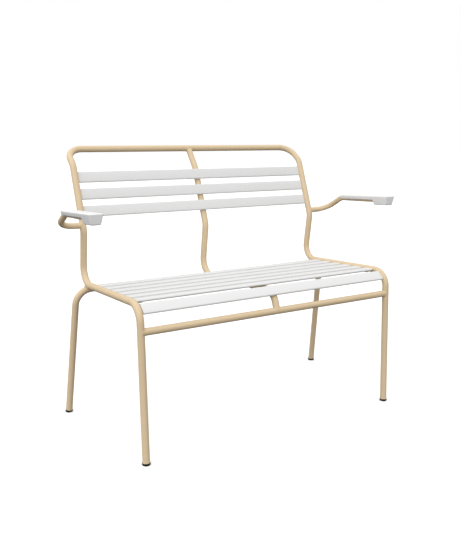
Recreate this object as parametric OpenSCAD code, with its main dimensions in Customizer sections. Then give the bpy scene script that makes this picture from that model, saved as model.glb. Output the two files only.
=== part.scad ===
// Garden bench: bent steel tube frame, thin flat slats, moulded arm pads.
// +X runs along the bench, the front faces -Y, +Z is up.
// The origin is on the ground, at the middle of the overall box.

/* [Frame tubes] */
// Outer diameter of the frame tubes
tube_d = 21.3; // [18:0.1:25]
// Wall thickness of every tube
tube_wall = 2; // [1.5:0.25:2.5]
// Centre-line radius of every tube bend
bend_r = 52; // [50:1:54]
// Distance between the axes of the two side tubes
frame_w = 900; // [800:10:1200]

/* [Seat] */
// Height of the side tube's axis above the origin
seat_axis_z = 442.25; // [430:0.25:455]
// How far the seat falls towards the back, in degrees
seat_fall = 2.6; // [1:0.1:4]
// Distance from the origin forward to the front feet
front_foot_y = 283.75; // [275:0.05:295]
// Lean of the front legs, top towards the back, in degrees
front_leg_lean = 2; // [0:0.5:4]
// Height of the front cross rail's axis
cross_rail_z = 379; // [360:1:390]

/* [Back] */
// Distance from the origin back to the waist of the backrest
waist_y = 148; // [140:1:155]
// Height of the waist of the backrest
waist_z = 607; // [590:1:620]
// Forward lean of the back posts below the waist, in degrees
low_back_lean = 8.1; // [6:0.1:10]
// Backward lean of the back posts above the waist, in degrees
high_back_lean = 20.25; // [16:0.25:22]
// Height where the posts bend back towards the top rail
neck_z = 810; // [800:1:815]
// Backward lean of the tubes above the neck, in degrees
neck_lean = 52.4; // [50:0.2:56]
// Height of the top rail's axis
top_rail_z = 858; // [855:1:875]

/* [Centre tube] */
// Backward lean of the centre tube where it reaches the top rail, in degrees
centre_top_lean = 36.5; // [34:0.5:38]
// Distance from the origin forward to the centre tube's front bend
centre_front_y = 249; // [244:0.5:252]

/* [Rear legs] */
// Distance from the middle plane out to each rear foot
rear_foot_x = 511.3; // [500:0.1:520]
// Distance from the origin back to the rear feet
rear_foot_y = 194.3; // [185:0.1:200]
// Height of the corner of each rear leg
rear_bar_z = 424.2; // [422:0.1:426]
// Distance from the middle plane out to the corner of each rear leg
rear_corner_x = 489.3; // [485:0.1:495]
// Distance from the origin back to the bar that joins the rear legs
rear_bar_y = 128; // [124:0.5:132]

/* [Slats] */
// Thickness of every slat
slat_t = 8; // [6:0.5:9]
// Width of every slat
slat_w = 36; // [32:1:40]
// Distance from one seat slat to the next
seat_pitch = 55; // [52:0.5:56]
// Number of flat seat slats
seat_slat_count = 6; // [5:1:6]
// Distance from the origin back to the middle of the rearmost seat slat
rear_slat_y = 77; // [70:1:80]
// Tilt of the front edge slat's face from upright, in degrees
front_slat_tilt = 48.6; // [44:0.2:52]
// Distance from the origin forward to the middle of the front edge slat
front_slat_y = 253.5; // [253:0.1:256]
// Height of the middle of the front edge slat
front_slat_z = 439; // [438.5:0.1:441]
// Distance along the posts from the waist to the lowest back slat
low_back_slat = 63; // [58:1:70]
// Distance from one back slat to the next
back_pitch = 56.3; // [52:0.1:58]
// Number of back slats
back_slat_count = 3; // [2:1:3]
// Gap between a slat's end and the side tube
slat_end_gap = 0.35; // [0.2:0.05:1]

/* [Armrests] */
// Outer diameter of the arm tubes
arm_d = 19; // [17:0.5:20]
// Height where the arm tube joins the post
arm_joint_z = 623; // [615:1:640]
// How far the arm runs outside the side tube
arm_out = 82.4; // [70:0.1:95]
// Distance from the origin back to the arm tube's outer corner
arm_corner_y = 150; // [145:1:155]
// Height of the arm tube's outer corner
arm_corner_z = 625.3; // [620:0.1:640]
// Distance from the origin back to the arm tube's upper bend
arm_top_y = 63.3; // [55:0.1:70]
// Climb of the arm tube between its bends, in degrees
arm_climb = 29.2; // [25:0.1:33]
// Climb of the arm tube under the pad, in degrees
arm_rise = 2.1; // [0:0.1:4]
// Distance from the origin forward to the arm pad's front end
pad_front = 191; // [175:1:200]
// Length of the arm pad along its top
pad_length = 241; // [210:1:245]
// Width of the arm pad across its top at the rear
pad_w = 45; // [42:1:50]
// Width of the arm pad across its top at the front
pad_front_w = 43; // [38:0.5:45]
// Width of the arm pad's block across its bottom
pad_bottom_w = 28; // [26:1:32]
// Height of the pad's top above the arm tube's axis, at its front end
pad_top = 13.5; // [13:0.1:15]
// Climb of the arm pad towards its front end, in degrees
pad_rise = 2.7; // [2.1:0.1:3]
// Depth of the pad's block below the arm tube's axis
pad_block_drop = 17.5; // [16:0.5:19]
// Length of the pad's block along its bottom
pad_block_length = 62; // [50:1:66]

/* [Feet and fixings] */
// Diameter of the glide under each leg
glide_d = 24.5; // [22:0.5:28]
// Height of the glide under each leg
glide_h = 6.5; // [5:0.5:8]
// Length of the glide's plug inside the leg
glide_plug = 20; // [12:1:30]
// Thickness of the lugs that carry the slat ends
lug_t = 2.5; // [2:0.5:3]
// Length of a lug across the bench
lug_length = 24; // [20:1:30]
// Width of a lug along the side tube
lug_w = 22; // [16:1:26]
// Diameter of the fixing screws
screw_d = 4; // [3:0.5:4]
// Diameter of the screw heads
screw_head_d = 8; // [7:0.5:9]
// Height of the screw heads
screw_head_h = 2.2; // [1.5:0.1:2.5]

/* [Hidden] */
$fn = 48;

half_w = frame_w / 2;
tube_r = tube_d / 2;
gap = 0.05;                      // clearance where two pieces touch
lap = 0.4;                       // how far a straight run reaches into a bend
flare = 0.3;                     // how much thicker the tube is in a bend
slat_gap = gap + flare / 2;      // clearance between the centre tube and the slats
tube_colour = [0.87, 0.78, 0.65];
slat_colour = [0.94, 0.94, 0.94];
pad_colour = [0.97, 0.97, 0.97];
glide_colour = [0.08, 0.08, 0.08];
screw_colour = [0.75, 0.75, 0.76];

// --- side profile of the outer tubes, as [y, z] ---
fall = tan(seat_fall);
low_slope = tan(low_back_lean);
high_slope = tan(high_back_lean);
leg_slope = tan(front_leg_lean);

// Height of the seat plane, through the side tubes' axes, at a given y
function seat_z(y) = seat_axis_z - fall * y;
// Position of the front leg's axis at a given height
function leg_y(z) = leg_slope * z - front_foot_y;

front_corner_z = (seat_axis_z + fall * front_foot_y) / (1 + fall * leg_slope);
front_corner = [leg_y(front_corner_z), front_corner_z];
rear_corner_z = (seat_axis_z - fall * (waist_y + low_slope * waist_z)) / (1 - fall * low_slope);
rear_corner = [waist_y + low_slope * (waist_z - rear_corner_z), rear_corner_z];
waist = [waist_y, waist_z];
neck = [waist_y + high_slope * (neck_z - waist_z), neck_z];
top_y = neck[0] + tan(neck_lean) * (top_rail_z - neck_z);
cross_rail_y = leg_y(cross_rail_z);

// --- side profile of the centre tube, under the seat and behind the back ---
seat_drop = (tube_r + slat_t / 2 + slat_gap) / cos(seat_fall);
low_back_off = (tube_r + slat_t / 2) / cos(low_back_lean);
high_back_off = (tube_r + slat_t + slat_gap) / cos(high_back_lean);
centre_waist_z = waist_z - (high_back_off - low_back_off) / (low_slope + high_slope);
centre_low_y = waist_y + low_back_off + low_slope * waist_z;
centre_waist = [centre_low_y - low_slope * centre_waist_z, centre_waist_z];
centre_rear_z = (seat_axis_z - seat_drop - fall * centre_low_y) / (1 - fall * low_slope);
centre_rear = [centre_low_y - low_slope * centre_rear_z, centre_rear_z];
centre_front = [-centre_front_y, seat_z(-centre_front_y) - seat_drop];
centre_top_slope = tan(centre_top_lean);
centre_high_y = waist_y + high_back_off - high_slope * waist_z;
centre_neck_z = (centre_high_y - top_y + centre_top_slope * top_rail_z)
    / (centre_top_slope - high_slope);
centre_neck = [centre_high_y + high_slope * centre_neck_z, centre_neck_z];

// --- paths ---
// Put a side profile in the plane at x
function at_x(x, p) = [for (q = p) [x, q[0], q[1]]];
function unit(v) = v / norm(v);
// Direction of a path's stretch i
function way(p, i) = unit(p[i + 1] - p[i]);
// The angle by which a path turns at point i
function turn(p, i) = acos(way(p, i - 1) * way(p, i));
// Distance from point i of a path to the start of its bend
function set_back(p, i) = (i == 0 || i == len(p) - 1) ? 0 : bend_r * tan(turn(p, i) / 2);
// The same, less the lap of the straight run into the bend
function reach(p, i) = max(0, set_back(p, i) - lap);

// Where a leg from a point on the ground towards b is cut square, just above its glide
function leg_start(a, b) = a + unit(b - a)
    * ((glide_h + gap + tube_r * sqrt(1 - pow(unit(b - a)[2], 2))) / unit(b - a)[2]);

front_foot = [half_w, leg_y(0), 0];
front_leg_top = [half_w, front_corner[0], front_corner[1]];
rear_foot = [rear_foot_x, rear_foot_y, 0];
rear_leg_top = [rear_corner_x, rear_bar_y, rear_bar_z];

side_path = concat(
    [leg_start(front_foot, front_leg_top)],
    at_x(half_w, [front_corner, rear_corner, waist, neck, [top_y, top_rail_z]]),
    [[half_w - bend_r, top_y, top_rail_z]]
);
centre_path = at_x(0, [
    [top_y, top_rail_z], centre_neck, centre_waist, centre_rear, centre_front,
    [cross_rail_y, cross_rail_z]
]);
rear_leg_path = [
    leg_start(rear_foot, rear_leg_top), rear_leg_top, [0, rear_bar_y, seat_z(rear_bar_y) - seat_drop]
];
arm_x = half_w + arm_out;
arm_top_z = arm_corner_z + tan(arm_climb) * (arm_corner_y - arm_top_y);
// Height of the arm tube's axis at a given y
function arm_z(y) = arm_top_z + tan(arm_rise) * (arm_top_y - y);
arm_end_wall = 15;               // pad's front end to the arm tube's end
arm_end_y = arm_end_wall - pad_front;
arm_path = [
    [half_w, waist_y + high_slope * (arm_joint_z - waist_z), arm_joint_z],
    [arm_x, arm_corner_y, arm_corner_z],
    [arm_x, arm_top_y, arm_top_z],
    [arm_x, arm_end_y, arm_z(arm_end_y)]
];

// --- tubes ---
// A straight run between two points, made from a flat profile
module run(a, b) {
    dir = unit(b - a);
    translate(a)
        rotate([0, atan2(norm([dir[0], dir[1]]), dir[2]), atan2(dir[1], dir[0])])
            linear_extrude(norm(b - a))
                children();
}

// The bend at point i of a path, made from a flat profile
module bend(p, i) {
    ahead = way(p, i - 1);
    inward = unit(way(p, i) - (way(p, i) * ahead) * ahead);
    centre = p[i] - ahead * set_back(p, i) + inward * bend_r;
    side = cross(-inward, ahead);
    multmatrix([
        [-inward[0], ahead[0], side[0], centre[0]],
        [-inward[1], ahead[1], side[1], centre[1]],
        [-inward[2], ahead[2], side[2], centre[2]]
    ])
        rotate_extrude(angle = turn(p, i))
            translate([bend_r, 0])
                children();
}

// A tube's wall in section, thickened by extra on its diameters
module wall(d, extra) {
    difference() {
        circle(d = d + extra);
        circle(d = d - 2 * tube_wall - extra);
    }
}

// A hollow tube along a path
module tube(p, d) {
    for (i = [0 : len(p) - 2])
        if (norm(p[i + 1] - p[i]) > set_back(p, i) + set_back(p, i + 1) + lap)
            run(p[i] + way(p, i) * reach(p, i), p[i + 1] - way(p, i) * reach(p, i + 1))
                wall(d, 0);
    for (i = [1 : 1 : len(p) - 2])
        bend(p, i)
            wall(d, flare);
}

// The space a tube takes up, for cutting other tubes to fit round it
module tube_space(p, d) {
    for (i = [0 : len(p) - 2])
        run(p[i] + way(p, i) * reach(p, i), p[i + 1] - way(p, i) * reach(p, i + 1))
            circle(d = d + 2 * gap);
    for (i = [1 : 1 : len(p) - 2])
        bend(p, i)
            circle(d = d + 2 * gap + flare);
}

module side_tube() {
    color(tube_colour)
        tube(side_path, tube_d);
}

module side_tube_right() {
    side_tube();
}

module side_tube_left() {
    mirror([1, 0, 0])
        side_tube();
}

module top_rail() {
    color(tube_colour)
        run([bend_r - half_w + gap, top_y, top_rail_z], [half_w - bend_r - gap, top_y, top_rail_z])
            wall(tube_d, 0);
}

// The straight part of a front leg, on the side given by x
module leg_space(x) {
    run([x, leg_y(0), 0], [x, front_corner[0], front_corner[1]])
        circle(d = tube_d + 2 * gap);
}

module front_cross_rail() {
    color(tube_colour)
        difference() {
            run([-half_w, cross_rail_y, cross_rail_z], [half_w, cross_rail_y, cross_rail_z])
                wall(tube_d, 0);
            leg_space(half_w);
            leg_space(-half_w);
        }
}

module centre_tube() {
    color(tube_colour)
        difference() {
            tube(centre_path, tube_d);
            run([-half_w, top_y, top_rail_z], [half_w, top_y, top_rail_z])
                circle(d = tube_d + 2 * gap);
            run([-half_w, cross_rail_y, cross_rail_z], [half_w, cross_rail_y, cross_rail_z])
                circle(d = tube_d + 2 * gap);
            centre_holes();
        }
}

module rear_leg() {
    color(tube_colour)
        difference() {
            tube(rear_leg_path, tube_d);
            tube_space(at_x(half_w, [front_corner, rear_corner, waist]), tube_d);
            tube_space(at_x(0, [centre_front, centre_rear, centre_waist]), tube_d);
        }
}

module rear_leg_right() {
    rear_leg();
}

module rear_leg_left() {
    mirror([1, 0, 0])
        rear_leg();
}

// --- armrests ---
module arm_tube() {
    color(tube_colour)
        difference() {
            tube(arm_path, arm_d);
            tube_space(at_x(half_w, [rear_corner, waist, neck]), tube_d);
            at_pad_screw()
                cylinder(h = pad_screw_length + 1, d = screw_d + 0.2);
        }
}

module arm_tube_right() {
    arm_tube();
}

module arm_tube_left() {
    mirror([1, 0, 0])
        arm_tube();
}

// Frame of the arm pad: on the tube's axis below the pad's front end, +Y towards its rear
module at_pad() {
    translate([arm_x, -pad_front, arm_z(-pad_front)])
        rotate([-pad_rise, 0, 0])
            children();
}

pad_plate_drop = 0.5;            // plate's underside below the frame of the pad
pad_plate_w = 31;                // plate's width at its underside
pad_edge = 2.4;                  // rounding of the pad's top edge
pad_nose = 5;                    // how far the block's ends slope in, over its depth
pad_corner = 4;                  // corners of the pad seen from above

// Half of the pad's section, as [x, z] points from the top down
pad_half_section = [
    [pad_w / 2 - pad_edge, pad_top],
    [pad_w / 2 - pad_edge * 0.3, pad_top - pad_edge * 0.35],
    [pad_w / 2, pad_top - pad_edge],
    [pad_w / 2 - 1, pad_top - pad_edge - 3],
    [pad_plate_w / 2, -pad_plate_drop],
    [pad_bottom_w / 2 + 0.5, 2 - pad_block_drop],
    [pad_bottom_w / 2 - 1.5, -pad_block_drop]
];

module pad_section() {
    polygon(concat(
        pad_half_section,
        [for (i = [len(pad_half_section) - 1 : -1 : 0]) [-pad_half_section[i][0], pad_half_section[i][1]]]
    ));
}

// The pad seen from the side, as [y, z]: a long plate with a block under its front end
module pad_side() {
    polygon([
        [0, pad_top - pad_edge],
        [pad_edge * 0.3, pad_top - pad_edge * 0.35],
        [pad_edge, pad_top],
        [pad_length - pad_edge, pad_top],
        [pad_length - pad_edge * 0.3, pad_top - pad_edge * 0.35],
        [pad_length, pad_top - pad_edge],
        [pad_length - 4, -pad_plate_drop],
        [pad_nose + pad_block_length + 4, -pad_plate_drop],
        [pad_nose + pad_block_length, 2 - pad_block_drop],
        [pad_nose + pad_block_length - 2, -pad_block_drop],
        [pad_nose + 2, -pad_block_drop],
        [pad_nose, 2 - pad_block_drop]
    ]);
}

// The pad seen from above, as [x, y]
module pad_plan() {
    polygon([
        [-pad_front_w / 2, pad_corner],
        [-pad_front_w / 2 + pad_corner * 0.3, pad_corner * 0.3],
        [-pad_front_w / 2 + pad_corner, 0],
        [pad_front_w / 2 - pad_corner, 0],
        [pad_front_w / 2 - pad_corner * 0.3, pad_corner * 0.3],
        [pad_front_w / 2, pad_corner],
        [pad_w / 2, pad_length - pad_corner],
        [pad_w / 2 - pad_corner * 0.3, pad_length - pad_corner * 0.3],
        [pad_w / 2 - pad_corner, pad_length],
        [-pad_w / 2 + pad_corner, pad_length],
        [-pad_w / 2 + pad_corner * 0.3, pad_length - pad_corner * 0.3],
        [-pad_w / 2, pad_length - pad_corner]
    ]);
}

module arm_pad() {
    color(pad_colour)
        difference() {
            at_pad()
                intersection() {
                    translate([0, pad_length + 1, 0])
                        rotate([90, 0, 0])
                            linear_extrude(pad_length + 2)
                                pad_section();
                    rotate([90, 0, 90])
                        linear_extrude(pad_w + 2, center = true)
                            pad_side();
                    translate([0, 0, -pad_block_drop - 1])
                        linear_extrude(pad_block_drop + pad_top + 2)
                            pad_plan();
                }
            run([arm_x, arm_end_y - gap, arm_z(arm_end_y - gap)], [arm_x, arm_top_y, arm_top_z])
                circle(d = arm_d + 2 * gap);
            at_pad_screw()
                cylinder(h = pad_screw_length + 1, d = screw_d + 0.2);
            at_pad_screw()
                translate([0, 0, -1])
                    cylinder(h = 1 + pad_screw_sink + screw_head_h + gap, d = screw_head_d + 0.4);
        }
}

module arm_pad_right() {
    arm_pad();
}

module arm_pad_left() {
    mirror([1, 0, 0])
        arm_pad();
}

// --- slats ---
edge_step = 22.5;                // angle between the flats round a slat's long edge

// A slat's section, with half-round long edges
module slat_profile() {
    r = slat_t / 2;
    edge = [for (a = [-90 : edge_step : 90]) [slat_w / 2 - r + r * cos(a), r * sin(a)]];
    polygon(concat(edge, [for (q = edge) [-q[0], -q[1]]]));
}

slat_length = frame_w - tube_d - flare - 2 * slat_end_gap;

// A slat lying flat along X, with its middle at the origin
module slat() {
    translate([-slat_length / 2, 0, 0])
        rotate([90, 0, 90])
            linear_extrude(slat_length)
                slat_profile();
}

// Each slat's frame has +Z out of its visible face. Seat slat 1 is the rearmost.
module at_seat(i) {
    y = rear_slat_y - (i - 1) * seat_pitch;
    translate([0, y, seat_z(y)])
        rotate([-seat_fall, 0, 0])
            children();
}

// The front edge slat lies just outside the centre tube's front bend
module at_front() {
    translate([0, -front_slat_y, front_slat_z])
        rotate([90 - front_slat_tilt, 0, 0])
            children();
}

// Back slat 1 is the lowest. Its face is on the plane through the posts' axes.
module at_back(i) {
    s = low_back_slat + (i - 1) * back_pitch;
    translate([0, waist_y + s * sin(high_back_lean), waist_z + s * cos(high_back_lean)])
        rotate([90 - high_back_lean, 0, 0])
            translate([0, 0, -slat_t / 2])
                children();
}

module at_seat_and_back() {
    for (i = [1 : seat_slat_count])
        at_seat(i)
            children();
    for (i = [1 : back_slat_count])
        at_back(i)
            children();
}

screw_x = half_w - tube_r - lug_length / 2;
screw_bite = 5;                  // how far a screw goes into a slat

module slat_hole(x) {
    translate([x, 0, -slat_t / 2 - 1])
        cylinder(h = 1 + screw_bite + 0.3, d = screw_d + 0.2);
}

module seat_slat(i) {
    color(slat_colour)
        at_seat(i)
            difference() {
                slat();
                slat_hole(-screw_x);
                slat_hole(0);
                slat_hole(screw_x);
            }
}

module seat_slat_1() {
    seat_slat(1);
}

module seat_slat_2() {
    seat_slat(2);
}

module seat_slat_3() {
    seat_slat(3);
}

module seat_slat_4() {
    seat_slat(4);
}

module seat_slat_5() {
    seat_slat(5);
}

module seat_slat_6() {
    seat_slat(6);
}

module seat_slat_front() {
    color(slat_colour)
        at_front()
            difference() {
                slat();
                slat_hole(-screw_x);
                slat_hole(screw_x);
            }
}

module back_slat(i) {
    color(slat_colour)
        at_back(i)
            difference() {
                slat();
                slat_hole(-screw_x);
                slat_hole(0);
                slat_hole(screw_x);
            }
}

module back_slat_1() {
    back_slat(1);
}

module back_slat_2() {
    back_slat(2);
}

module back_slat_3() {
    back_slat(3);
}

// --- fixings ---
lug_top = -slat_t / 2 - gap;     // lug's upper face in a slat's frame

module lug() {
    difference() {
        translate([half_w - tube_r - lug_length, -lug_w / 2, lug_top - lug_t])
            cube([lug_length + tube_r / 2, lug_w, lug_t]);
        translate([screw_x, 0, lug_top - lug_t - 1])
            cylinder(h = lug_t + 2, d = screw_d + 0.4);
    }
}

module slat_lugs() {
    color(tube_colour)
        difference() {
            union() {
                at_seat_and_back()
                    lug();
                at_front()
                    lug();
            }
            tube_space(at_x(half_w, [[leg_y(0), 0], front_corner, rear_corner]), tube_d);
            tube_space(at_x(half_w, [waist, neck]), tube_d);
        }
}

module slat_lugs_right() {
    slat_lugs();
}

module slat_lugs_left() {
    mirror([1, 0, 0])
        slat_lugs();
}

// A screw in a slat's frame, through something of thickness t below the slat
module screw(x, t, d, head_d) {
    translate([x, 0, lug_top - t - gap - screw_head_h])
        cylinder(h = screw_head_h, d = head_d);
    translate([x, 0, lug_top - t - gap - screw_head_h / 2])
        cylinder(h = screw_head_h / 2 + gap + t + gap + screw_bite, d = d);
}

module lug_screws() {
    color(screw_colour) {
        at_seat_and_back()
            screw(screw_x, lug_t, screw_d, screw_head_d);
        at_front()
            screw(screw_x, lug_t, screw_d, screw_head_d);
    }
}

module lug_screws_right() {
    lug_screws();
}

module lug_screws_left() {
    mirror([1, 0, 0])
        lug_screws();
}

module centre_screws() {
    color(screw_colour)
        at_seat_and_back()
            screw(0, tube_d + slat_gap, screw_d, screw_head_d);
}

// Holes through the centre tube for its screws
module centre_holes() {
    at_seat_and_back()
        translate([0, 0, lug_top - tube_d - 1])
            cylinder(h = tube_d + 2, d = screw_d + 0.4);
}

module at_pad_screw() {
    at_pad()
        translate([0, pad_nose + pad_block_length / 2, -pad_block_drop])
            children();
}

pad_screw_length = 14;
pad_screw_sink = 0.3;            // screw head below the block's underside

module pad_screw() {
    color(screw_colour)
        at_pad_screw() {
            translate([0, 0, pad_screw_sink])
                cylinder(h = screw_head_h, d = screw_head_d);
            translate([0, 0, pad_screw_sink + screw_head_h / 2])
                cylinder(h = pad_screw_length - screw_head_h / 2, d = screw_d);
        }
}

module pad_screw_right() {
    pad_screw();
}

module pad_screw_left() {
    mirror([1, 0, 0])
        pad_screw();
}

// --- glides ---
// The glide of a leg that runs from a point on the ground towards b
module glide(a, b) {
    dir = unit(b - a);
    r = glide_d / 2;
    core = a + dir * (glide_h / 2 / dir[2]);
    tube_end = leg_start(a, b);
    color(glide_colour) {
        translate([core[0], core[1], 0])
            rotate_extrude()
                polygon([
                    [0, 0],
                    [r - 2.4, 0],
                    [r - 0.9, 0.6],
                    [r, 2.2],
                    [r, glide_h],
                    [0, glide_h]
                ]);
        run(core, tube_end - dir * gap)
            circle(d = tube_d - flare);
        run(core, tube_end + dir * glide_plug)
            circle(d = tube_d - 2 * tube_wall - flare);
    }
}

module glide_front_right() {
    glide(front_foot, front_leg_top);
}

module glide_front_left() {
    mirror([1, 0, 0])
        glide(front_foot, front_leg_top);
}

module glide_rear_right() {
    glide(rear_foot, rear_leg_top);
}

module glide_rear_left() {
    mirror([1, 0, 0])
        glide(rear_foot, rear_leg_top);
}

side_tube_left();
side_tube_right();
top_rail();
front_cross_rail();
centre_tube();
rear_leg_left();
rear_leg_right();
arm_tube_left();
arm_tube_right();
arm_pad_left();
arm_pad_right();
seat_slat_1();
seat_slat_2();
seat_slat_3();
seat_slat_4();
seat_slat_5();
seat_slat_6();
seat_slat_front();
back_slat_1();
back_slat_2();
back_slat_3();
slat_lugs_left();
slat_lugs_right();
lug_screws_left();
lug_screws_right();
centre_screws();
pad_screw_left();
pad_screw_right();
glide_front_left();
glide_front_right();
glide_rear_left();
glide_rear_right();
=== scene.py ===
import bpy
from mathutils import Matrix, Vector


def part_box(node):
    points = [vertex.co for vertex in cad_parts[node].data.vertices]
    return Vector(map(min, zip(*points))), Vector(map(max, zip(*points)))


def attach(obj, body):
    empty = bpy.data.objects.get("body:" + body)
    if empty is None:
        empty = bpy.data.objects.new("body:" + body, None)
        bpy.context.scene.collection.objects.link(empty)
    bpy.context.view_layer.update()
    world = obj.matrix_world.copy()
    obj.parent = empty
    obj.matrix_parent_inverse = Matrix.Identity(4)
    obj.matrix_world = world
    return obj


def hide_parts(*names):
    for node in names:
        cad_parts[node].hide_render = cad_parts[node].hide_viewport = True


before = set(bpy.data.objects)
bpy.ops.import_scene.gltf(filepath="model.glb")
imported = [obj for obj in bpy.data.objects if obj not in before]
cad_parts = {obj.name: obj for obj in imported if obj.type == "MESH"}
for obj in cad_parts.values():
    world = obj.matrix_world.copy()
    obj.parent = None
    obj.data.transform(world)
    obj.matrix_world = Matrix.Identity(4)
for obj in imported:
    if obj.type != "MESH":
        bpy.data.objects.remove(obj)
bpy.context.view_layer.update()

import math

import bmesh
import bpy
from mathutils import Matrix, Vector

MM = 0.001

# ---------------------------------------------------------------- fineness of the meshes
ROUND = 40                      # faces round a tube
BEND_STEP = math.radians(3.0)   # turn of a tube between two rings
EDGE_STEPS = 5                  # facets in a slat's or a pad's rounded edge
SEAM_POINTS = 96                # points round a whole weld seam
BEAD_ROUND = 10                 # faces round a weld bead

# ---------------------------------------------------------------- tube sizes, in metres
TUBE_R = 10.65 * MM             # outside radius of a frame tube
ARM_R = 9.5 * MM                # outside radius of an arm tube
TUBE_WALL = 2.0 * MM
BEND_R = 52.0 * MM              # centre-line radius of every bend
BELL_LENGTH = 3.5 * MM          # stretch of a leg that widens towards its glide
BELL_SHARE = 0.07               # how much wider its end is
BORE_DEPTH = 12.0 * MM          # depth of the bore that is modelled in a leg's end
BEAD_R = 1.3 * MM               # radius of a weld bead
BEAD_RIPPLE = 0.10              # how much a bead's radius rises and falls along it
RIPPLE_POINTS = 4               # points from one ripple to the next
BEAD_FADE = 5                   # points over which an open bead's end grows to its full radius
BEAD_TIP = 0.2                  # share of the radius left at an open bead's tip

# ---------------------------------------------------------------- frame dimensions, in millimetres
# The CAD source has the same driving dimensions.
HALF_W = 450.0                  # from the middle plane to a side tube's axis
SEAT_Z = 442.25                 # height of the side tubes' axes above the origin
SEAT_FALL = math.radians(2.6)   # fall of the seat towards the back
FRONT_Y = 283.75                # from the origin forward to the front feet
LEG_LEAN = math.radians(2.0)    # lean of the front legs, top towards the back
CROSS_Z = 379.0                 # height of the front cross rail's axis
WAIST = (148.0, 607.0)          # (y, z) of the waist of the back posts
LOW_LEAN = math.radians(8.1)    # forward lean of the posts below the waist
HIGH_LEAN = math.radians(20.25)   # backward lean of the posts above the waist
NECK_Z = 810.0                  # height where the posts bend towards the top rail
NECK_LEAN = math.radians(52.4)  # backward lean of the posts above the neck
TOP_Z = 858.0                   # height of the top rail's axis
CENTRE_TOP_LEAN = math.radians(36.5)   # backward lean of the centre tube at the top rail
CENTRE_FRONT_Y = 249.0          # from the origin forward to the centre tube's front bend
REAR_FOOT = (511.3, 194.3)      # (x, y) of the right rear foot
REAR_CORNER = (489.3, 128.0, 424.2)   # corner of the right rear leg

SLAT_T = 8.0                    # thickness of a slat
SLAT_W = 36.0                   # width of a slat
SLAT_EDGE = 3.9                 # radius of a slat's long edges
SLAT_EASE = 0.5                 # chamfer at a slat's ends
SLAT_GAP = 0.2                  # clearance between the centre tube and the slats
REAR_SLAT_Y = 77.0              # from the origin back to the rearmost seat slat
SEAT_SLATS = 6                  # number of flat seat slats
SEAT_PITCH = 55.0               # from one seat slat to the next
FRONT_SLAT = (-253.5, 439.0)    # (y, z) of the middle of the front edge slat
FRONT_TILT = math.radians(48.6)   # tilt of its face from upright
LOW_BACK_SLAT = 63.0            # along the posts from the waist to the lowest back slat
BACK_SLATS = 3                  # number of back slats
BACK_PITCH = 56.3               # from one back slat to the next

ARM_JOINT_Z = 623.0             # height where an arm tube joins its post
ARM_OUT = 82.4                  # how far an arm runs outside the side tube
ARM_CORNER = (150.0, 625.3)     # (y, z) of an arm tube's outer corner
ARM_TOP_Y = 63.3                # from the origin back to its upper bend
ARM_CLIMB = math.radians(29.2)  # its climb between its bends
ARM_RISE = math.radians(2.1)    # its climb under the pad
ARM_END_WALL = 15.0             # plastic between its end and the front of the pad

PAD_FRONT = 191.0               # from the origin forward to a pad's front end
PAD_LENGTH = 241.0              # length of a pad along its top
PAD_RISE = math.radians(2.7)    # climb of a pad towards its front end
PAD_TOP = 13.5                  # height of its top above the arm tube's axis
PLATE_DROP = 0.5                # depth of its plate below that axis
PAD_DROP = 17.5                 # depth of its front block below that axis
PAD_BLOCK = 62.0                # length of the block along its bottom
PAD_CHIN = 5.0                  # how far the front face slants back on its way down
PAD_SLANT = 4.0                 # how far the block's rear and the plate's end slant forward
PAD_HALF_REAR = 22.5            # half the width of a pad's top at the rear
PAD_HALF_FRONT = 21.5           # and at the front
PAD_HALF_BOTTOM = 14.0          # half the width across the bottom of its block
PAD_EDGE = 3.4                  # width of its rounded edges
PAD_SHARP = math.radians(12)    # edges that turn more than this are rounded

GLIDE_H = 6.5                   # height of a glide
GLIDE_CORE_R = 10.5             # radius of the core that joins a glide's cup to its leg
GLIDE_CUP = [                   # (radius, height) of the cup's outline, from the ground up
    (0, 0), (9.8, 0), (10.7, 0.2), (11.4, 0.65), (11.9, 1.3), (12.2, 2.3),
    (12.2, 5.6), (11.9, 6.2), (11.3, 6.45), (9.0, 6.5), (0, 6.5),
]

SIDES = ((1, "right"), (-1, "left"))

# ---------------------------------------------------------------- paths of the tubes
FALL_SLOPE = math.tan(SEAT_FALL)
LOW_SLOPE = math.tan(LOW_LEAN)
HIGH_SLOPE = math.tan(HIGH_LEAN)
LEG_SLOPE = math.tan(LEG_LEAN)


def seat_z(y):
    """Height of the seat plane, which holds the side tubes' axes."""
    return SEAT_Z - FALL_SLOPE * y


def leg_y(z):
    """Where a front leg's axis is at a height."""
    return LEG_SLOPE * z - FRONT_Y


def at_mm(x, y, z):
    """A point given in millimetres."""
    return Vector((x, y, z)) * MM


def direction(start, end):
    return (end - start).normalized()


def mirrored(points):
    return [Vector((-q.x, q.y, q.z)) for q in points]


def on_side(points, side):
    """The right side's points, or their mirror images for the left side."""
    return points if side > 0 else mirrored(points)


def leg_start(foot, top):
    """Where a leg from a point on the ground is cut square above its glide."""
    way = direction(foot, top)
    lean = math.sqrt(1 - way.z ** 2)
    return foot + way * ((GLIDE_H * MM + TUBE_R * lean) / way.z)


# The side tubes and the top rail: corners as (y, z)
front_z = (SEAT_Z + FALL_SLOPE * FRONT_Y) / (1 + FALL_SLOPE * LEG_SLOPE)
front_corner = (leg_y(front_z), front_z)
rear_z = (SEAT_Z - FALL_SLOPE * (WAIST[0] + LOW_SLOPE * WAIST[1])) / (1 - FALL_SLOPE * LOW_SLOPE)
rear_corner = (WAIST[0] + LOW_SLOPE * (WAIST[1] - rear_z), rear_z)
neck = (WAIST[0] + HIGH_SLOPE * (NECK_Z - WAIST[1]), NECK_Z)
top_y = neck[0] + math.tan(NECK_LEAN) * (TOP_Z - NECK_Z)
cross_y = leg_y(CROSS_Z)

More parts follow.
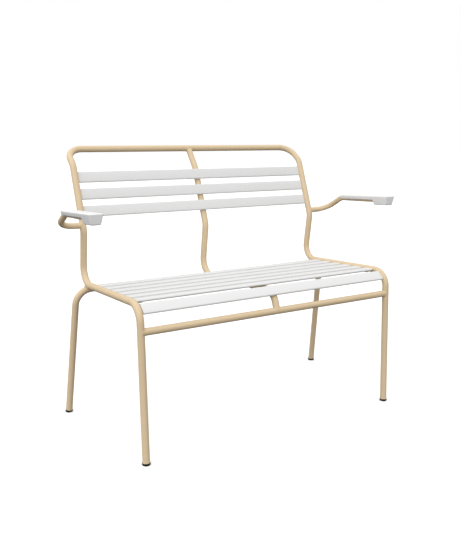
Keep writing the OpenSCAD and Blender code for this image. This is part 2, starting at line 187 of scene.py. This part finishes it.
# The centre tube, which touches the slats from behind and from below
TUBE_MM = TUBE_R / MM
seat_drop = (TUBE_MM + SLAT_T / 2 + SLAT_GAP) / math.cos(SEAT_FALL)
low_off = (TUBE_MM + SLAT_T / 2) / math.cos(LOW_LEAN)
high_off = (TUBE_MM + SLAT_T + SLAT_GAP) / math.cos(HIGH_LEAN)
centre_waist_z = WAIST[1] - (high_off - low_off) / (LOW_SLOPE + HIGH_SLOPE)
centre_low_y = WAIST[0] + low_off + LOW_SLOPE * WAIST[1]
centre_waist = (centre_low_y - LOW_SLOPE * centre_waist_z, centre_waist_z)
centre_rear_z = (SEAT_Z - seat_drop - FALL_SLOPE * centre_low_y) / (1 - FALL_SLOPE * LOW_SLOPE)
centre_rear = (centre_low_y - LOW_SLOPE * centre_rear_z, centre_rear_z)
centre_front = (-CENTRE_FRONT_Y, seat_z(-CENTRE_FRONT_Y) - seat_drop)
centre_top_slope = math.tan(CENTRE_TOP_LEAN)
centre_high_y = WAIST[0] + high_off - HIGH_SLOPE * WAIST[1]
centre_neck_z = (centre_high_y - top_y + centre_top_slope * TOP_Z) / (centre_top_slope - HIGH_SLOPE)
centre_neck = (centre_high_y + HIGH_SLOPE * centre_neck_z, centre_neck_z)

front_foot = at_mm(HALF_W, leg_y(0), 0)
front_top = at_mm(HALF_W, *front_corner)
rear_foot = at_mm(*REAR_FOOT, 0)
rear_top = at_mm(*REAR_CORNER)
rear_bar_y = REAR_CORNER[1]

half_loop = [leg_start(front_foot, front_top), front_top]
half_loop += [at_mm(HALF_W, *corner) for corner in (rear_corner, WAIST, neck, (top_y, TOP_Z))]
centre_points = [
    at_mm(0, *corner)
    for corner in ((top_y, TOP_Z), centre_neck, centre_waist, centre_rear, centre_front, (cross_y, CROSS_Z))
]
rear_points = [
    leg_start(rear_foot, rear_top),
    rear_top,
    at_mm(0, rear_bar_y, seat_z(rear_bar_y) - seat_drop),
]

arm_x = HALF_W + ARM_OUT
arm_top_z = ARM_CORNER[1] + math.tan(ARM_CLIMB) * (ARM_CORNER[0] - ARM_TOP_Y)
arm_end_y = ARM_END_WALL - PAD_FRONT


def arm_z(y):
    """Height of an arm tube's axis under the pad."""
    return arm_top_z + math.tan(ARM_RISE) * (ARM_TOP_Y - y)


arm_points = [
    at_mm(HALF_W, WAIST[0] + HIGH_SLOPE * (ARM_JOINT_Z - WAIST[1]), ARM_JOINT_Z),
    at_mm(arm_x, *ARM_CORNER),
    at_mm(arm_x, ARM_TOP_Y, arm_top_z),
    at_mm(arm_x, arm_end_y, arm_z(arm_end_y)),
]


# ---------------------------------------------------------------- mesh helpers
def centreline(points):
    """Points and directions along a path, with a bend at each inner corner."""
    last = len(points) - 1
    ways = [direction(points[i], points[i + 1]) for i in range(last)]
    out = [(points[0], ways[0])]
    for i in range(1, last):
        u, v = ways[i - 1], ways[i]
        angle = u.angle(v)
        back = BEND_R * math.tan(angle / 2)
        inward = (v - u * u.dot(v)).normalized()
        centre = points[i] - u * back + inward * BEND_R
        steps = max(2, math.ceil(angle / BEND_STEP))
        for k in range(steps + 1):
            a = angle * k / steps
            at = centre - inward * BEND_R * math.cos(a) + u * BEND_R * math.sin(a)
            out.append((at, (u * math.cos(a) + inward * math.sin(a)).normalized()))
    out.append((points[-1], ways[-1]))
    return out


def circle(centre, side, up, radius, count=ROUND):
    """Points round a circle in the plane of side and up."""
    angles = (2 * math.pi * n / count for n in range(count))
    return [centre + (side * math.cos(a) + up * math.sin(a)) * radius for a in angles]


def object_from(bm, name, material, smooth_angle=32):
    """An object that shades smoothly over every edge flatter than smooth_angle, in degrees."""
    bmesh.ops.recalc_face_normals(bm, faces=bm.faces)
    mesh = bpy.data.meshes.new(name)
    limit = math.radians(smooth_angle)
    for e in bm.edges:
        e.smooth = len(e.link_faces) == 2 and e.calc_face_angle(0) < limit
    for f in bm.faces:
        f.smooth = True
    bm.to_mesh(mesh)
    bm.free()
    obj = bpy.data.objects.new(name, mesh)
    bpy.context.scene.collection.objects.link(obj)
    obj.data.materials.append(material)
    return obj


def rings(bm, line, radius, start_cut=None, end_cut=None):
    """Rings of vertices along a centreline. A cut moves the points of an end ring."""
    made = []
    last = len(line) - 1
    side = line[0][1].orthogonal().normalized()
    for k, (at, way) in enumerate(line):
        side = (side - way * side.dot(way)).normalized()
        points = circle(at, side, way.cross(side), radius)
        if k == 0 and start_cut:
            points = [start_cut(q, way) for q in points]
        if k == last and end_cut:
            points = [end_cut(q, -way) for q in points]
        made.append([bm.verts.new(q) for q in points])
    return made


def join_rings(bm, made):
    for one, two in zip(made, made[1:]):
        for n in range(len(one)):
            m = (n + 1) % len(one)
            bm.faces.new((one[n], one[m], two[m], two[n]))


def meets(point, axis, radius, drop_misses=False):
    """
    A cut that moves a point along its own tube onto the outside of the round tube that
    runs through point along axis. A point that misses that tube stays, or gives None.
    """
    axis = axis.normalized()

    def cut(q, towards):
        # towards points away from the tube's end, so of the two crossings the further is wanted
        rel = q - point
        a = towards - axis * towards.dot(axis)
        b = rel - axis * rel.dot(axis)
        aa, ab, bb = a.dot(a), a.dot(b), b.dot(b) - radius * radius
        root = ab * ab - aa * bb
        if root <= 0:
            return None if drop_misses else q
        return q + towards * ((-ab + math.sqrt(root)) / aa)

    return cut


def tube(name, points, radius, start_cut=None, end_cut=None):
    """A tube with both ends closed."""
    bm = bmesh.new()
    made = rings(bm, centreline(points), radius, start_cut, end_cut)
    join_rings(bm, made)
    bm.faces.new(made[0])
    bm.faces.new(made[-1])
    return object_from(bm, name, PAINT)


def lathe(bm, profile, at, way=Vector((0, 0, 1))):
    """A turned surface from (radius, height) pairs. A radius of 0 closes it."""
    way = way.normalized()
    side = way.orthogonal().normalized()
    up = way.cross(side)
    previous = None
    for r, h in profile:
        centre = at + way * h
        points = circle(centre, side, up, r) if r > 0 else [centre]
        ring = [bm.verts.new(q) for q in points]
        if previous:
            for n in range(ROUND):
                m = (n + 1) % ROUND
                if len(previous) == 1:
                    bm.faces.new((previous[0], ring[n], ring[m]))
                elif len(ring) == 1:
                    bm.faces.new((previous[n], previous[m], ring[0]))
                else:
                    bm.faces.new((previous[n], previous[m], ring[m], ring[n]))
        previous = ring


def place(obj, *nodes, slot):
    """Puts a piece on the root body and hides the CAD nodes it stands for. The slot argument is not used.
    """
    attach(obj, "root")
    if nodes:
        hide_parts(*nodes)


# ---------------------------------------------------------------- material helpers
def new_material(name):
    m = bpy.data.materials.new(name)
    m.use_nodes = True
    nodes = m.node_tree.nodes
    shader = nodes["Principled BSDF"]
    return m, nodes, m.node_tree.links, shader


def coords(nodes, links, scale=(1, 1, 1)):
    where = nodes.new("ShaderNodeTexCoord")
    mapping = nodes.new("ShaderNodeMapping")
    mapping.inputs["Scale"].default_value = scale
    links.new(where.outputs["Object"], mapping.inputs["Vector"])
    return mapping.outputs["Vector"]


def noise(nodes, links, vector, scale, detail=2.0, rough=0.5):
    n = nodes.new("ShaderNodeTexNoise")
    n.inputs["Scale"].default_value = scale
    n.inputs["Detail"].default_value = detail
    n.inputs["Roughness"].default_value = rough
    links.new(vector, n.inputs["Vector"])
    return n.outputs["Fac"]


def ramp(nodes, links, fac, stops):
    """Colours from a value, by (position, colour) stops in rising order."""
    r = nodes.new("ShaderNodeValToRGB")
    ends = r.color_ramp.elements
    for element, (pos, colour) in ((ends[0], stops[0]), (ends[1], stops[-1])):
        element.position = pos
        element.color = (*colour, 1)
    for pos, colour in stops[1:-1]:
        element = r.color_ramp.elements.new(pos)
        element.color = (*colour, 1)
    links.new(fac, r.inputs["Fac"])
    return r.outputs["Color"]


def to_range(nodes, links, fac, low, high, from_low=0.0):
    """A value between from_low and 1, stretched to run from low to high."""
    m = nodes.new("ShaderNodeMapRange")
    m.inputs["From Min"].default_value = from_low
    m.inputs["To Min"].default_value = low
    m.inputs["To Max"].default_value = high
    links.new(fac, m.inputs["Value"])
    return m.outputs["Result"]


def bump(nodes, links, shader, heights, distance):
    """Bump from one or more (height, strength) pairs, finest last."""
    normal = None
    for height, strength in heights:
        b = nodes.new("ShaderNodeBump")
        b.inputs["Strength"].default_value = strength
        b.inputs["Distance"].default_value = distance
        links.new(height, b.inputs["Height"])
        if normal:
            links.new(normal, b.inputs["Normal"])
        normal = b.outputs["Normal"]
    links.new(normal, shader.inputs["Normal"])


# ---------------------------------------------------------------- materials
def paint_material(name, colour, shade):
    """Powder coat on steel: fine orange peel, faint uneven tone."""
    m, nodes, links, shader = new_material(name)
    at = coords(nodes, links)
    cloud = noise(nodes, links, at, scale=9.0, detail=4.0, rough=0.6)
    tone = ramp(nodes, links, cloud, [(0.25, shade), (0.75, colour)])
    links.new(tone, shader.inputs["Base Color"])
    peel = noise(nodes, links, at, scale=900.0)
    grit = noise(nodes, links, at, scale=3200.0, detail=1.0)
    patches = noise(nodes, links, at, scale=60.0, detail=3.0)
    links.new(to_range(nodes, links, patches, low=0.34, high=0.48), shader.inputs["Roughness"])
    bump(nodes, links, shader, [(peel, 0.10), (grit, 0.05)], distance=0.4 * MM)
    shader.inputs["Specular IOR Level"].default_value = 0.35
    return m


def slat_material(name, colour, shade):
    """Extruded plastic: faint lengthwise drag lines over a fine matt grain."""
    m, nodes, links, shader = new_material(name)
    along = coords(nodes, links, (1.2, 160.0, 160.0))
    at = coords(nodes, links)
    streak = noise(nodes, links, along, scale=6.0, detail=3.0, rough=0.55)
    tone = ramp(nodes, links, streak, [(0.2, shade), (0.8, colour)])
    links.new(tone, shader.inputs["Base Color"])
    grain = noise(nodes, links, at, scale=1800.0, rough=0.6)
    links.new(to_range(nodes, links, streak, low=0.46, high=0.6), shader.inputs["Roughness"])
    bump(nodes, links, shader, [(streak, 0.05), (grain, 0.06)], distance=0.3 * MM)
    shader.inputs["Specular IOR Level"].default_value = 0.3
    return m


def moulded_material(name, colour, shade, rough=(0.4, 0.52), grain_strength=0.12):
    """Moulded plastic with a fine spark-eroded grain."""
    m, nodes, links, shader = new_material(name)
    at = coords(nodes, links)
    cloud = noise(nodes, links, at, scale=24.0, detail=3.0)
    tone = ramp(nodes, links, cloud, [(0.25, shade), (0.75, colour)])
    links.new(tone, shader.inputs["Base Color"])
    cells = nodes.new("ShaderNodeTexVoronoi")
    cells.inputs["Scale"].default_value = 1500.0
    links.new(at, cells.inputs["Vector"])
    links.new(to_range(nodes, links, cloud, *rough), shader.inputs["Roughness"])
    bump(nodes, links, shader, [(cells.outputs["Distance"], grain_strength)], distance=0.3 * MM)
    shader.inputs["Specular IOR Level"].default_value = 0.4
    return m


def steel_material(name, colour, shade):
    """Zinc plate: a cloudy grey metal with a fine grain."""
    m, nodes, links, shader = new_material(name)
    at = coords(nodes, links)
    cloud = noise(nodes, links, at, scale=300.0, detail=3.0, rough=0.6)
    tone = ramp(nodes, links, cloud, [(0.2, shade), (0.8, colour)])
    links.new(tone, shader.inputs["Base Color"])
    links.new(to_range(nodes, links, cloud, low=0.3, high=0.5), shader.inputs["Roughness"])
    shader.inputs["Metallic"].default_value = 1.0
    grain = noise(nodes, links, at, scale=2500.0)
    bump(nodes, links, shader, [(grain, 0.1)], distance=0.2 * MM)
    return m


PAINT = paint_material("champagne_powder_coat", (0.768, 0.600, 0.386), (0.748, 0.583, 0.374))
WELD = paint_material("painted_weld", (0.755, 0.588, 0.378), (0.720, 0.560, 0.358))
SLAT = slat_material("offwhite_slat", (0.808, 0.808, 0.806), (0.788, 0.788, 0.786))
PAD = moulded_material("white_moulding", (0.90, 0.90, 0.898), (0.88, 0.88, 0.878))
BLACK = moulded_material(
    "black_moulding", (0.008, 0.008, 0.008), (0.004, 0.004, 0.004),
    rough=(0.45, 0.6), grain_strength=0.2,
)
STEEL = steel_material("zinc_plated_steel", (0.66, 0.66, 0.67), (0.42, 0.42, 0.44))


# ---------------------------------------------------------------- frame tubes
def middle_of(ring):
    return sum((v.co for v in ring), Vector()) / len(ring)


def open_end(bm, ring, inward):
    """Closes a tube's square end with its wall and a short stretch of bore."""
    centre = middle_of(ring)
    share = 1 - TUBE_WALL / TUBE_R
    lip = [bm.verts.new(centre + (v.co - centre) * share) for v in ring]
    bore = [bm.verts.new(v.co + inward * BORE_DEPTH) for v in lip]
    join_rings(bm, [ring, lip, bore])
    bm.faces.new(bore)


def with_feet(name, points, both=False, end_cut=None):
    """A frame tube whose first end, or both ends, widen a little and stand in glides."""
    line = centreline(points)
    at, way = line[0]
    line.insert(1, (at + way * BELL_LENGTH, way))
    if both:
        at, way = line[-1]
        line.insert(-1, (at - way * BELL_LENGTH, way))
    bm = bmesh.new()
    made = rings(bm, line, TUBE_R, None, end_cut)
    join_rings(bm, made)
    feet = [(made[0], line[0][1])]
    if both:
        feet.append((made[-1], -line[-1][1]))
    for ring, inward in feet:
        middle = middle_of(ring)
        for v in ring:
            v.co += (v.co - middle) * BELL_SHARE
        open_end(bm, ring, inward)
    if not both:
        bm.faces.new(made[-1])
    return object_from(bm, name, PAINT)


along_x = Vector((1, 0, 0))
along_rail = Vector((0, -1, FALL_SLOPE))      # along a seat rail, towards the front
leg_way = direction(front_foot, front_top)
post_way = direction(at_mm(HALF_W, *WAIST), at_mm(HALF_W, *neck))

at_top_rail = meets(centre_points[0], along_x, TUBE_R)
at_cross_rail = meets(centre_points[-1], along_x, TUBE_R)
at_centre_tube = meets(rear_points[-1], along_rail, TUBE_R)
at_leg = {side: meets(on_side([front_foot], side)[0], leg_way, TUBE_R) for side, _ in SIDES}
at_post = {side: meets(at_mm(side * HALF_W, *WAIST), post_way, TUBE_R) for side, _ in SIDES}

place(
    with_feet("side_and_top_loop", half_loop + mirrored(half_loop)[::-1], both=True),
    "side_tube_left", "side_tube_right", "top_rail", slot="tube",
)
cross_ends = [at_mm(-HALF_W, cross_y, CROSS_Z), at_mm(HALF_W, cross_y, CROSS_Z)]
place(
    tube("front_cross_rail_tube", cross_ends, TUBE_R, at_leg[-1], at_leg[1]),
    "front_cross_rail", slot="tube",
)
place(
    tube("centre_support_tube", centre_points, TUBE_R, at_top_rail, at_cross_rail),
    "centre_tube", slot="tube",
)
for side, hand in SIDES:
    node = f"rear_leg_{hand}"
    leg = with_feet(f"{node}_tube", on_side(rear_points, side), end_cut=at_centre_tube)
    place(leg, node, slot="tube")
for side, hand in SIDES:
    node = f"arm_tube_{hand}"
    arm = tube(f"{node}_bent", on_side(arm_points, side), ARM_R, at_post[side])
    place(arm, node, slot="tube")


# ---------------------------------------------------------------- weld beads
def seam(at, way, radius, cut):
    """The line along which a tube that leaves at, in the direction way, is cut."""
    side = way.orthogonal().normalized()
    return [cut(q, way) for q in circle(at, side, way.cross(side), radius, SEAM_POINTS)]


def bead(name, points, closed=True):
    """A rippled weld bead along a seam, thinning out at its ends when it isn't closed."""
    bm = bmesh.new()
    middle = sum(points, Vector()) / len(points)
    last = len(points) - 1
    made = []
    for k, q in enumerate(points):
        after = points[(k + 1) % len(points)] if closed else points[min(k + 1, last)]
        before = points[k - 1] if closed else points[max(k - 1, 0)]
        along = direction(before, after)
        out = q - middle
        out = (out - along * out.dot(along)).normalized()
        r = BEAD_R * (1 + BEAD_RIPPLE * math.sin(2 * math.pi * k / RIPPLE_POINTS))
        if not closed:
            r *= min(1.0, BEAD_TIP + min(k, last - k) / BEAD_FADE)
        ring = circle(q, out, along.cross(out), r, BEAD_ROUND)
        made.append([bm.verts.new(v) for v in ring])
    join_rings(bm, made + made[:1] if closed else made)
    if not closed:
        bm.faces.new(made[0])
        bm.faces.new(made[-1])
    place(object_from(bm, name, WELD, smooth_angle=60), slot="tube")


def rear_leg_beads(side, hand):
    """The two beads where a rear leg's bar passes under its seat rail and touches it."""
    bar_middle = rear_points[-1]
    bar_share = HALF_W / REAR_CORNER[0]
    bar_z = bar_middle.z + (rear_top.z - bar_middle.z) * bar_share
    crossing = Vector((side * HALF_W * MM, rear_top.y, bar_z))
    rail = at_mm(side * HALF_W, rear_bar_y, seat_z(rear_bar_y))
    at_rail = meets(rail, along_rail, TUBE_R, drop_misses=True)
    for way, face in ((along_x * side, "outer"), (along_x * -side, "inner")):
        ring = seam(crossing, way, TUBE_R, at_rail)
        turns = range(len(ring))
        first = next(k for k in turns if ring[k - 1] is None and ring[k] is not None)
        ring = ring[first:] + ring[:first]
        bead(f"weld_rear_leg_{face}_{hand}", [q for q in ring if q is not None], closed=False)


centre_down = direction(centre_points[0], centre_points[1])
centre_back = direction(centre_points[-1], centre_points[-2])
bead("weld_centre_top", seam(centre_points[0], centre_down, TUBE_R, at_top_rail))
bead("weld_centre_front", seam(centre_points[-1], centre_back, TUBE_R, at_cross_rail))
for side, hand in SIDES:
    out_x = along_x * side
    cross_end = at_mm(side * HALF_W, cross_y, CROSS_Z)
    bead(f"weld_cross_rail_{hand}", seam(cross_end, -out_x, TUBE_R, at_leg[side]))
    arm = on_side(arm_points, side)
    bead(f"weld_arm_{hand}", seam(arm[0], direction(arm[0], arm[1]), ARM_R, at_post[side]))
    bead(f"weld_rear_bar_{hand}", seam(rear_points[-1], out_x, TUBE_R, at_centre_tube))
    rear_leg_beads(side, hand)


# ---------------------------------------------------------------- slats
def slat_profile():
    """The outline of a slat's section in metres, with an arc at each corner."""
    edge = SLAT_EDGE * MM
    profile = []
    for sy, sz, start in ((1, 1, 0), (-1, 1, 90), (-1, -1, 180), (1, -1, 270)):
        corner_y = sy * (SLAT_W * MM / 2 - edge)
        corner_z = sz * (SLAT_T * MM / 2 - edge)
        for k in range(EDGE_STEPS + 1):
            a = math.radians(start + 90 * k / EDGE_STEPS)
            profile.append((corner_y + math.cos(a) * edge, corner_z + math.sin(a) * edge))
    return profile


def slat(name, node, centre, tilt):
    """A flat strip as long as its CAD node, with rounded long edges and eased ends."""
    low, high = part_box(node)
    half = (high.x - low.x) / 2
    ease = SLAT_EASE * MM
    turn = Matrix.Rotation(tilt, 4, "X")
    bm = bmesh.new()
    made = []
    for x, inset in ((-half, ease), (-half + ease, 0), (half - ease, 0), (half, ease)):
        y_share = 1 - 2 * inset / (SLAT_W * MM)
        z_share = 1 - 2 * inset / (SLAT_T * MM)
        ring = []
        for y, z in slat_profile():
            q = Vector((0, y * y_share, z * z_share))
            ring.append(bm.verts.new(centre + turn @ q + Vector((x, 0, 0))))
        made.append(ring)
    join_rings(bm, made)
    bm.faces.new(made[0])
    bm.faces.new(made[-1])
    place(object_from(bm, name, SLAT), node, slot="slat")


for i in range(SEAT_SLATS):
    y = REAR_SLAT_Y - i * SEAT_PITCH
    slat(f"seat_strip_{i + 1}", f"seat_slat_{i + 1}", at_mm(0, y, seat_z(y)), -SEAT_FALL)

slat("seat_strip_front", "seat_slat_front", at_mm(0, *FRONT_SLAT), math.pi / 2 - FRONT_TILT)

back_up = Vector((0, math.sin(HIGH_LEAN), math.cos(HIGH_LEAN)))
back_normal = Vector((0, -math.cos(HIGH_LEAN), math.sin(HIGH_LEAN)))
for i in range(BACK_SLATS):
    offset = back_up * (LOW_BACK_SLAT + i * BACK_PITCH) - back_normal * SLAT_T / 2
    centre = at_mm(0, *WAIST) + offset * MM
    slat(f"back_strip_{i + 1}", f"back_slat_{i + 1}", centre, math.pi / 2 - HIGH_LEAN)

# ---------------------------------------------------------------- arm pads
# The pad's side outline, as (distance behind its front end, height over the arm tube's axis)
PAD_SIDE = [
    (0.0, PAD_TOP),
    (PAD_LENGTH, PAD_TOP),
    (PAD_LENGTH - PAD_SLANT, -PLATE_DROP),
    (PAD_CHIN + PAD_BLOCK + PAD_SLANT, -PLATE_DROP),
    (PAD_CHIN + PAD_BLOCK, -PAD_DROP),
    (PAD_CHIN, -PAD_DROP),
]


def pad_half_width(y, z):
    """Half the pad's width, which shrinks towards its front and its bottom."""
    top = PAD_HALF_FRONT + (PAD_HALF_REAR - PAD_HALF_FRONT) * y / PAD_LENGTH
    return top + (PAD_HALF_BOTTOM - PAD_HALF_FRONT) * (PAD_TOP - z) / (PAD_TOP + PAD_DROP)


def arm_pad(name, node, side):
    """A plate with a block under its front end, every edge rounded."""
    bm = bmesh.new()
    turn = Matrix.Rotation(-PAD_RISE, 4, "X")
    origin = at_mm(side * arm_x, -PAD_FRONT, arm_z(-PAD_FRONT))
    faces = []
    for s in (-1, 1):
        outline = [at_mm(s * pad_half_width(y, z), y, z) for y, z in PAD_SIDE]
        faces.append([bm.verts.new(origin + turn @ q) for q in outline])
    join_rings(bm, faces)
    bm.faces.new(faces[0])
    bm.faces.new(faces[1])
    obj = object_from(bm, name, PAD, smooth_angle=80)
    soften = obj.modifiers.new("edges", "BEVEL")
    soften.width = PAD_EDGE * MM
    soften.segments = EDGE_STEPS
    soften.limit_method = "ANGLE"
    soften.angle_limit = PAD_SHARP
    place(obj, node, slot="pad")


for side, hand in SIDES:
    arm_pad(f"arm_pad_{hand}_moulding", f"arm_pad_{hand}", side)


# ---------------------------------------------------------------- glides
def glide(node, foot, top):
    """A black cup flat on the ground, with a core that follows the leg up to its end."""
    way = direction(foot, top)
    core = foot + way * (GLIDE_H / 2 * MM / way.z)
    reach = (leg_start(foot, top) - core).length
    core_r = GLIDE_CORE_R * MM
    bm = bmesh.new()
    lathe(bm, [(r * MM, h * MM) for r, h in GLIDE_CUP], Vector((core.x, core.y, 0)))
    lathe(bm, [(0, 0), (core_r, 0), (core_r, reach), (0, reach)], core, way)
    place(object_from(bm, f"{node}_cup", BLACK), node, slot="glide")


for side, hand in SIDES:
    glide(f"glide_front_{hand}", *on_side([front_foot, front_top], side))
    glide(f"glide_rear_{hand}", *on_side([rear_foot, rear_top], side))

# ---------------------------------------------------------------- carried-over CAD nodes
for node, material in (
    ("slat_lugs_left", PAINT), ("slat_lugs_right", PAINT),
    ("lug_screws_left", STEEL), ("lug_screws_right", STEEL),
    ("centre_screws", STEEL), ("pad_screw_left", STEEL), ("pad_screw_right", STEEL),
):
    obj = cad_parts[node]
    obj.data.materials.clear()
    obj.data.materials.append(material)

# ---------------------------------------------------------------- stage, light, camera
FLOOR_REACH = 40.0              # half the floor's width, in metres
FLOOR_GREY = 0.93
FLOOR_GLOW = 0.24               # lifts the floor to the white of the background
LIT_SIDE = Vector((-0.20, -0.12, 0.97))   # the sky is brightest in this direction
SKY = [                         # (position from the dark side to the lit one, brightness)
    (0.0, 0.03), (0.3, 0.09), (0.5, 0.44), (0.65, 0.9), (1.0, 1.15),
]
SKY_STRENGTH = 1.05
KEY_PLACE = (-3.6, -2.2, 3.7)
KEY_TARGET = Vector((0, 0, 0.5))
KEY_SIZE = 3.0
KEY_POWER = 48.0
CAMERA_PLACE = (-1.15829, -1.87302, 0.88887)
CAMERA_DIP = 11.46              # how far the camera looks down, in degrees
CAMERA_TURN = 31.644            # how far it looks right of +Y, in degrees
CAMERA_LENS = 43.354
CAMERA_SHIFT = (0.00152, -0.00511)


def add_floor():
    """A white floor that takes shadows and sends no light back to the bench."""
    s = FLOOR_REACH
    floor_mesh = bpy.data.meshes.new("floor")
    floor_mesh.from_pydata([(-s, -s, 0), (s, -s, 0), (s, s, 0), (-s, s, 0)], [], [(0, 1, 2, 3)])
    floor = bpy.data.objects.new("floor", floor_mesh)
    bpy.context.scene.collection.objects.link(floor)
    material, _, _, shader = new_material("pale_floor")
    shader.inputs["Base Color"].default_value = (FLOOR_GREY, FLOOR_GREY, FLOOR_GREY, 1)
    shader.inputs["Roughness"].default_value = 0.9
    shader.inputs["Specular IOR Level"].default_value = 0.0
    shader.inputs["Emission Color"].default_value = (1, 1, 1, 1)
    shader.inputs["Emission Strength"].default_value = FLOOR_GLOW
    floor.data.materials.append(material)
    floor.visible_diffuse = False
    floor.visible_glossy = False


def add_sky():
    """Sky light that falls off away from the lit side. The camera sees plain white instead."""
    world = bpy.data.worlds.new("studio")
    bpy.context.scene.world = world
    world.use_nodes = True
    nodes, links = world.node_tree.nodes, world.node_tree.links
    nodes.clear()
    out = nodes.new("ShaderNodeOutputWorld")
    where = nodes.new("ShaderNodeTexCoord")
    facing = nodes.new("ShaderNodeVectorMath")
    facing.operation = "DOT_PRODUCT"
    links.new(where.outputs["Generated"], facing.inputs[0])
    facing.inputs[1].default_value = LIT_SIDE.normalized()
    height = to_range(nodes, links, facing.outputs["Value"], low=0.0, high=1.0, from_low=-1.0)
    sky = ramp(nodes, links, height, [(at, (v, v, v)) for at, v in SKY])
    light = nodes.new("ShaderNodeBackground")
    light.inputs["Strength"].default_value = SKY_STRENGTH
    links.new(sky, light.inputs["Color"])
    white = nodes.new("ShaderNodeBackground")
    white.inputs["Color"].default_value = (1, 1, 1, 1)
    white.inputs["Strength"].default_value = 1.0
    path = nodes.new("ShaderNodeLightPath")
    mix = nodes.new("ShaderNodeMixShader")
    links.new(path.outputs["Is Camera Ray"], mix.inputs["Fac"])
    links.new(light.outputs["Background"], mix.inputs[1])
    links.new(white.outputs["Background"], mix.inputs[2])
    links.new(mix.outputs["Shader"], out.inputs["Surface"])


def add_key_light():
    """A large soft disk of light, up on the left in front of the bench."""
    key_data = bpy.data.lights.new("key", "AREA")
    key_data.shape = "DISK"
    key_data.size = KEY_SIZE
    key_data.energy = KEY_POWER
    key = bpy.data.objects.new("key", key_data)
    key.location = KEY_PLACE
    key.rotation_euler = (KEY_TARGET - key.location).to_track_quat("-Z", "Y").to_euler()
    bpy.context.scene.collection.objects.link(key)


def add_camera():
    camera_data = bpy.data.cameras.new("camera")
    camera = bpy.data.objects.new("camera", camera_data)
    bpy.context.scene.collection.objects.link(camera)
    camera.location = CAMERA_PLACE
    camera.rotation_euler = (math.radians(90 - CAMERA_DIP), 0, math.radians(-CAMERA_TURN))
    camera_data.sensor_fit = "AUTO"
    camera_data.sensor_width = 36.0
    camera_data.lens = CAMERA_LENS
    camera_data.shift_x, camera_data.shift_y = CAMERA_SHIFT
    camera_data.clip_end = 200.0
    bpy.context.scene.camera = camera


add_floor()
add_sky()
add_key_light()
add_camera()

view = bpy.context.scene.view_settings
view.view_transform = "Standard"
view.look = "None"
view.exposure = 0.0
view.gamma = 1.0
